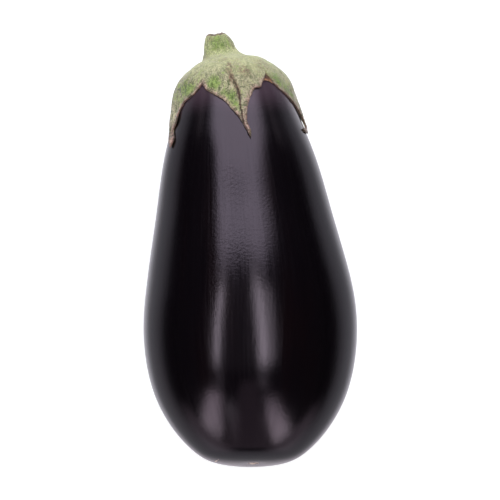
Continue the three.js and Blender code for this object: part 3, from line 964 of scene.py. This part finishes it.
def makeFeltMaterial(s):
    material, tree, shader = newMaterial(
        "calyxFelt", Roughness=0.85, IOR=1.4, Sheen_Weight=0.4, Sheen_Roughness=0.5)
    place = objectPlace(tree)
    mark = {key: attribute(tree, key) for key in usualMarks}
    broad, middle, fine, grain = (noise(place, *s[key]) for key in ("broad", "middle", "fine", "grain"))
    bends = vectorCalc("SUBTRACT", noise(place, *s["strandBends"], out="Color"), (0.5, 0.5, 0.5))
    sway = vectorCalc("SCALE", bends, s["strandSway"])
    strands = noise(vectorCalc("ADD", attribute(tree, "strandPlace", "Vector"), sway), *s["strands"])

    wandering = plus(centred(middle, 1.0), centred(fine, 0.8))
    mottled = plus(centred(middle, 1.5), centred(fine, 1.8))
    streaky = plus(times(mottled, 0.5), centred(strands, 2.8))
    low = plus(mark["along"], plus(centred(broad, 14.0), centred(middle, 6.0)))
    green = plus(mark["green"], plus(streaky, centred(broad, 1.9)))
    dots = ramp(plus(times(grain, 0.5), times(fine, 0.5)), 0.46, 0.53)
    nearEdge = plus(mark["toEdge"], times(wandering, 2.4))
    offFold = calc("ABSOLUTE", plus(mark["aside"], centred(fine, 0.9)))
    smudge = times(mark["fold"], ramp(mark["along"], *s["smudgeFrom"]))
    smudge = times(smudge, ramp(offFold, *s["smudgeWithin"]))
    colour = painted(s["light"], s, (
        ("low", ramp(low, *s["lowFrom"])),
        ("tan", ramp(plus(broad, centred(fine, 0.5)), 0.5, 0.68, 0.0, 0.6)),
        ("green", ramp(green, 0.14, 0.9, 0.0, 0.92)),
        ("freckle", times(fleckMask(place, *s["specks"]), ramp(broad, 0.4, 0.65, 0.04, 0.4))),
        ("freckle", times(times(ramp(mark["freckled"], 0.1, 0.6), dots), 0.8)),
        ("tip", ramp(plus(mark["along"], times(wandering, 6.0)), *s["tipFrom"])),
        ("margin", ramp(nearEdge, *s["marginWithin"])),
        ("edge", ramp(plus(mark["toEdge"], times(wandering, 1.1)), *s["edgeWithin"])),
        ("freckle", times(smudge, ramp(grain, 0.35, 0.6, 0.4, 1.0))),
        # painted shade darkens the slit along the crease
        ("creaseShade", times(mark["fold"], ramp(offFold, *s["creaseShadeWithin"])))))
    torn = blend(ramp(nearEdge, *s["tornLipWithin"]), s["tornFlesh"], s["tornLip"])
    ring, rim = plus(mark["cut"], centred(fine, 0.25)), plus(mark["cut"], centred(fine, 0.5))
    colour = painted(blend(mark["torn"], colour, torn), s, (
        ("under", ramp(mark["under"], 0.6, 0.95)),
        ("cutRim", times(ramp(rim, 0.2, 0.42, 0.0, 0.9), ramp(middle, 0.34, 0.5, 0.5, 1.0)))))
    cutFace = blend(ramp(ring, 0.9, 0.8), s["cutFace"], s["cutRing"])
    cutFace = blend(ramp(ring, 0.76, 0.66), cutFace, s["cutFace"])
    colour = blend(ramp(ring, 0.6, 0.7, 0.0, 0.95), colour, cutFace)

    # the gaps between the hairs are darker and greener, the hairs creamier
    hairs = plus(times(strands, 0.6), times(grain, 0.4))
    depth = times(ramp(mark["along"], *s["contrastFrom"]), ramp(mark["aside"], *s["contrastAside"]))
    contrast = times(ramp(hairs, *s["strandContrast"]), calc("MAXIMUM", depth, mark["stemward"]))
    shade = plus(calc("MULTIPLY_ADD", mottled, 0.26, 1.0), contrast)
    greener, creamier = calc("MULTIPLY_ADD", shade, 0.86, 0.14), calc("MULTIPLY_ADD", shade, 1.08, -0.08)
    shaded = addNode(tree, "ShaderNodeCombineColor", {0: shade, 1: greener, 2: creamier}).outputs[0]
    join(blend(1.0, colour, shaded, "MULTIPLY"), shader.inputs["Base Color"])
    normal = bumped(plus(middle, broad), s["feltHeight"], 0.7)
    normal = bumped(strands, s["strandHeight"], 0.9, normal)
    join(bumped(grain, s["grainHeight"], 0.8, normal), shader.inputs["Normal"])
    return material


calyx = makeCalyx("eggplantCalyx", calyxSettings)
calyx.data.materials.append(makeFeltMaterial(calyxSettings))
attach(calyx, "root")
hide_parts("calyx")
print("calyx made:", len(calyx.data.polygons), "faces")


# the short hairs that stand on the felt
downSettings = {
    "hairsPerSquareMetre": 2.4e6,
    "shortest": 0.3,  # millimetres
    "longest": 0.85,
    "thickness": 0.045,
    "lean": 0.75,
    "seed": 5,
    "yellow": (0.52, 0.5, 0.33, 1),
    "cream": (0.66, 0.6, 0.47, 1),
    "brown": (0.5, 0.36, 0.27, 1),
    "mottle": (240.0, 2.0),  # how many to the metre, detail
    "brownPatches": 90.0,
}


def makeDownMaterial(s):
    material, tree, shader = newMaterial("calyxDown", Roughness=0.7, IOR=1.4)
    place = objectPlace(tree)
    colour = blend(noise(place, *s["mottle"]), s["yellow"], s["cream"])
    colour = blend(ramp(noise(place, s["brownPatches"]), 0.5, 0.62, 0.0, 0.6), colour, s["brown"])
    join(colour, shader.inputs["Base Color"])
    return material


def makeDownTree(s):
    sizes = ("hairsPerSquareMetre", "shortest", "longest", "thickness", "lean")
    tree, given, result = newTree("calyxDown", "GeometryNodeTree", {
        "Geometry": ("Geometry", None), **{socketName(key): ("Float", s[key]) for key in sizes},
        "Seed": ("Int", s["seed"]), "Down": ("Material", None)}, {"Geometry": ("Geometry", None)})
    under, cut = storedField(tree, "under", "FLOAT"), storedField(tree, "cut", "FLOAT")
    spread = addNode(tree, "GeometryNodeDistributePointsOnFaces", {
        "Mesh": given["Geometry"], "Selection": calc("LESS_THAN", plus(under, cut), 0.4),
        "Density": given["Hairs Per Square Metre"], "Seed": given["Seed"]}).outputs
    hair = addNode(tree, "GeometryNodeMeshCone", {
        "Vertices": 3, "Radius Top": 0.0, "Radius Bottom": times(given["Thickness"], 0.5 * mm),
        "Depth": mm}, fill_type="NGON")
    fullTurn = 6.28
    lean = addNode(tree, "FunctionNodeRandomValue", {
        0: (-1.0, -1.0, 0.0), 1: (1.0, 1.0, fullTurn), "Seed": plus(given["Seed"], 1.0)}, data_type="FLOAT_VECTOR")
    tilt = vectorCalc("MULTIPLY", lean.outputs[0], vectorOf(given["Lean"], given["Lean"], 1.0))
    turned = addNode(tree, "FunctionNodeRotateRotation", {
        "Rotation": spread["Rotation"], "Rotate By": tilt}, rotation_space="LOCAL")
    length = addNode(tree, "FunctionNodeRandomValue", {
        2: given["Shortest"], 3: given["Longest"], "Seed": plus(given["Seed"], 2.0)}, data_type="FLOAT")
    placed = addNode(tree, "GeometryNodeInstanceOnPoints", {
        "Points": spread["Points"], "Instance": hair.outputs["Mesh"], "Rotation": turned.outputs[0],
        "Scale": vectorOf(1.0, 1.0, length.outputs[1])})
    join(inTurn(
        placed.outputs[0],
        ("RealizeInstances", {}),
        ("SetMaterial", {"Material": given["Down"]})), result["Geometry"])
    return tree


down = runTree("calyxDown", makeDownTree(downSettings), {"Down": makeDownMaterial(downSettings)}, over=calyx)
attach(down, "root")
print("down made:", len(down.data.polygons), "faces")


# floor, lights and camera, in metres
quarter = math.pi / 2
studio = {
    "floorRadius": 4.0,
    "floorSides": 96,
    # painted pool of light on the floor: pale close to the fruit and nearly black farther out, as reflections and
    # bounce light see it
    "paintedPoolColour": (0.5, 0.51, 0.53, 1),
    "outsidePoolColour": (0.03, 0.03, 0.03, 1),
    "nearReach": (0.11, 0.3),
    "frontStretch": 0.45,
    "nearGlow": 0.84,
    # seen only in the skin: the floor close beside the fruit, and patches of it in front and behind,
    # each with how far out it begins, its glow, and the slopes of its inner and outer side
    "besideGlow": 0.63,
    "beside": (0.01, 0.052),
    "footLine": (-0.044, 0.075),  # the fruit's middle line on the floor
    "footHalfWidths": (0.042, 0.024),  # at either end of it
    "frontPatch": ((0.14, 0.3), 0.47, (0.1, 0.45), (1.7, 0.9)),
    "backPatch": ((0.1, 0.24), 0.13, (0.5, 0.9), (1.5, 0.95)),
    "sideTint": (1.0, 0.98, 1.06, 1),
    "frontTint": (1.0, 0.86, 0.96, 1),
    "frontTintFrom": (-0.05, -0.14),
    "roomGlow": 0.03,
    "aimedAlong": 60.0,  # millimetres along the fruit's axis
    "aim": (-0.00020, 0.02539),
    "cameraHeight": 1.0,  # over the fruit's axis
    "viewWidth": 0.1975,  # at the fruit's axis
    "sensorWidth": 36,
    "clip": (0.01, 50),
    # soft panels round the fruit: where they stand, how wide and tall, how bright, which way they face,
    # their tint, and over what share of the panel the light fades in from each of its own sides:
    # left, right, bottom, top
    "panels": {
        "stemEndPanel": ((-0.125, 1.6, 0.78), (2.78, 1.3), 2.72, (-quarter, 0, 0),
                         (1.0, 0.99, 1.08), (0.19, 0.22, 0, 0)),
        "stemEndMiddle": ((-0.26, 1.6, 1.495), (2.62, 0.13), 2.8, (-quarter, 0, 0),
                          (1.0, 1.0, 1.1), (0.12, 0.15, 0, 0)),
        "stemEndUpper": ((-0.35, 1.6, 1.7), (2.4, 0.28), 3.0, (-quarter, 0, 0),
                         (1.0, 1.0, 1.1), (0.1, 0.12, 0, 0)),
        "stemEndLeftLow": ((-1.8, 1.6, 0.2), (0.8, 0.4), 0.4, (-quarter, 0, 0),
                           (1.0, 0.96, 1.0), (0.4, 0, 0.4, 0)),
        "stemEndRightLow": ((1.5, 1.6, 0.15), (0.9, 0.32), 0.35, (-quarter, 0, 0),
                            (1.0, 0.96, 1.0), (0, 0.4, 0.4, 0)),
        "leftStrip": ((-0.73, 0.2, 1.04), (0.2, 1.26), 4.4, (0, 0, -0.1),
                      (1.0, 1.0, 1.02), (0, 0, 0.3, 0.22)),
        "rightStrip": ((0.215, 0.23, 1.04), (0.24, 1.26), 3.3, (0, 0, 0.15),
                       (1.0, 1.0, 1.02), (0, 0.35, 0.28, 0.24)),
        "rightStripSoft": ((0.37, 0.2, 1.07), (0.36, 1.0), 1.7, (0, 0, 0.06),
                           (1.0, 1.0, 1.02), (0, 0.2, 0.2, 0.1)),
        "betweenStrips": ((-0.28, 0.2, 1.06), (0.6, 1.0), 0.08, (0, 0, 0),
                          (1.0, 0.95, 1.0), (0, 0, 0, 0)),
        "blossomLeft": ((-1.72, -1.6, 1.45), (1.35, 3.9), 3.0, (quarter, -0.43, 0),
                        (1.0, 0.92, 0.97), (0.4, 0.4, 0.25, 0.62)),
        "blossomLeftHigh": ((-2.55, -1.6, 3.3), (1.2, 2.6), 0.55, (quarter, -0.4, 0),
                            (1.0, 0.95, 1.0), (0.4, 0.4, 0.4, 0.1)),
        "blossomLeftSoft": ((-0.64, -1.6, 1.1), (0.7, 2.3), 1.6, (quarter, -0.1, 0),
                            (1.0, 0.97, 1.0), (0.2, 0.4, 0, 0.5)),
        "blossomMiddle": ((-0.1, -1.6, 2.0), (1.4, 4.2), 0.24, (quarter, 0, 0),
                          (1.0, 0.82, 0.93), (0.2, 0.2, 0, 0.1)),
        "blossomRight": ((0.86, -1.6, 1.25), (1.2, 3.1), 3.1, (quarter, 0.05, 0),
                         (1.0, 0.92, 0.97), (0.4, 0.38, 0.25, 0.72)),
        "blossomRightHigh": ((0.95, -1.6, 3.6), (1.1, 2.4), 0.75, (quarter, 0.12, 0),
                             (1.0, 0.95, 1.0), (0.4, 0.4, 0.4, 0.1)),
    },
}


def fadeIn(tree, sides):
    # a panel's own sides run from 0 to 1 across it
    own = partsOf(tree.nodes.new("ShaderNodeNewGeometry").outputs["Parametric"])
    strength = 1.0
    for value, near, far in ((own["X"], *sides[:2]), (own["Y"], *sides[2:])):
        if near:
            strength = times(strength, ramp(value, 0.0, near))
        if far:
            strength = times(strength, ramp(value, 1.0, 1.0 - far))
    return strength


def addPanel(name, centre, size, radiance, turn, colour, sides):
    data = bpy.data.lights.new(name, "AREA")
    data.shape, data.size, data.size_y = "RECTANGLE", *size
    data.energy = radiance * size[0] * size[1] * math.pi
    data.color = colour
    if any(sides):
        data.use_nodes = True
        join(fadeIn(data.node_tree, sides), data.node_tree.nodes["Emission"].inputs["Strength"])
    panel = addObject(name, data)
    panel.location, panel.rotation_euler = centre, turn
    panel.visible_camera = False


def makeFloor(s):
    bpy.ops.mesh.primitive_circle_add(vertices=s["floorSides"], radius=s["floorRadius"], fill_type="NGON")
    floor = bpy.context.object
    floor.name = "floor"
    material, tree, shader = newMaterial("paleFloor", Roughness=0.9, Specular_IOR_Level=0.0)
    x, y = partsOf(objectPlace(tree))[:2]
    away = lengthOf(vectorOf(x, calc("MAXIMUM", y, times(y, s["frontStretch"]))))
    # the floor's colour is a painted pool of light, pale near the fruit and dark farther out
    join(blend(ramp(away, *s["nearReach"]), s["paintedPoolColour"], s["outsidePoolColour"]), shader.inputs["Base Color"])
    seen = addNode(tree, "ShaderNodeLightPath").outputs["Is Camera Ray"]
    tint = blend(ramp(y, *s["frontTintFrom"]), s["sideTint"], s["frontTint"])
    join(blend(seen, tint, white), shader.inputs["Emission Color"])

    def patch(outward, reach, glow, inner, outer):
        slope = divided(calc("ABSOLUTE", x), calc("MAXIMUM", outward, 0.05))
        return times(ramp(outward, *reach, 0.0, glow), times(ramp(slope, *inner), ramp(slope, *outer)))

    onLine = calc("MINIMUM", calc("MAXIMUM", y, s["footLine"][0]), s["footLine"][1])
    beside = minus(lengthOf(vectorOf(x, minus(y, onLine))), ramp(y, *s["footLine"], *s["footHalfWidths"]))
    patches = plus(patch(times(y, -1.0), *s["frontPatch"]), patch(y, *s["backPatch"]))
    reflected = plus(patches, ramp(beside, *s["beside"], s["besideGlow"], 0.0))
    direct = ramp(away, *s["nearReach"], s["nearGlow"], 1.0)
    join(plus(times(seen, direct), times(minus(1.0, seen), reflected)), shader.inputs["Emission Strength"])
    floor.data.materials.append(material)


def makeWorld(s):
    world = bpy.data.worlds.new("studio")
    bpy.context.scene.world = world
    world.use_nodes = True
    background = world.node_tree.nodes["Background"]
    seen = addNode(world.node_tree, "ShaderNodeLightPath").outputs["Is Camera Ray"]
    background.inputs["Color"].default_value = white
    join(calc("MULTIPLY_ADD", seen, 1 - s["roomGlow"], s["roomGlow"]), background.inputs["Strength"])


def makeCamera(s):
    axisPoint = inFrame(np.array([[0.0, s["aimedAlong"], 0.0]]))[0]
    data = bpy.data.cameras.new("camera")
    data.sensor_width = s["sensorWidth"]
    data.lens = s["sensorWidth"] * s["cameraHeight"] / s["viewWidth"]
    data.clip_start, data.clip_end = s["clip"]
    camera = addObject("camera", data)
    camera.location = axisPoint + (*s["aim"], s["cameraHeight"])
    bpy.context.scene.camera = camera
    print("camera at", [round(v, 4) for v in camera.location], "lens", round(data.lens, 1))


makeFloor(studio)
makeWorld(studio)
makeCamera(studio)
for name, settings in studio["panels"].items():
    addPanel(name, *settings)
bpy.context.scene.view_settings.view_transform = "Standard"
print("studio set up:", len(studio["panels"]), "panels")
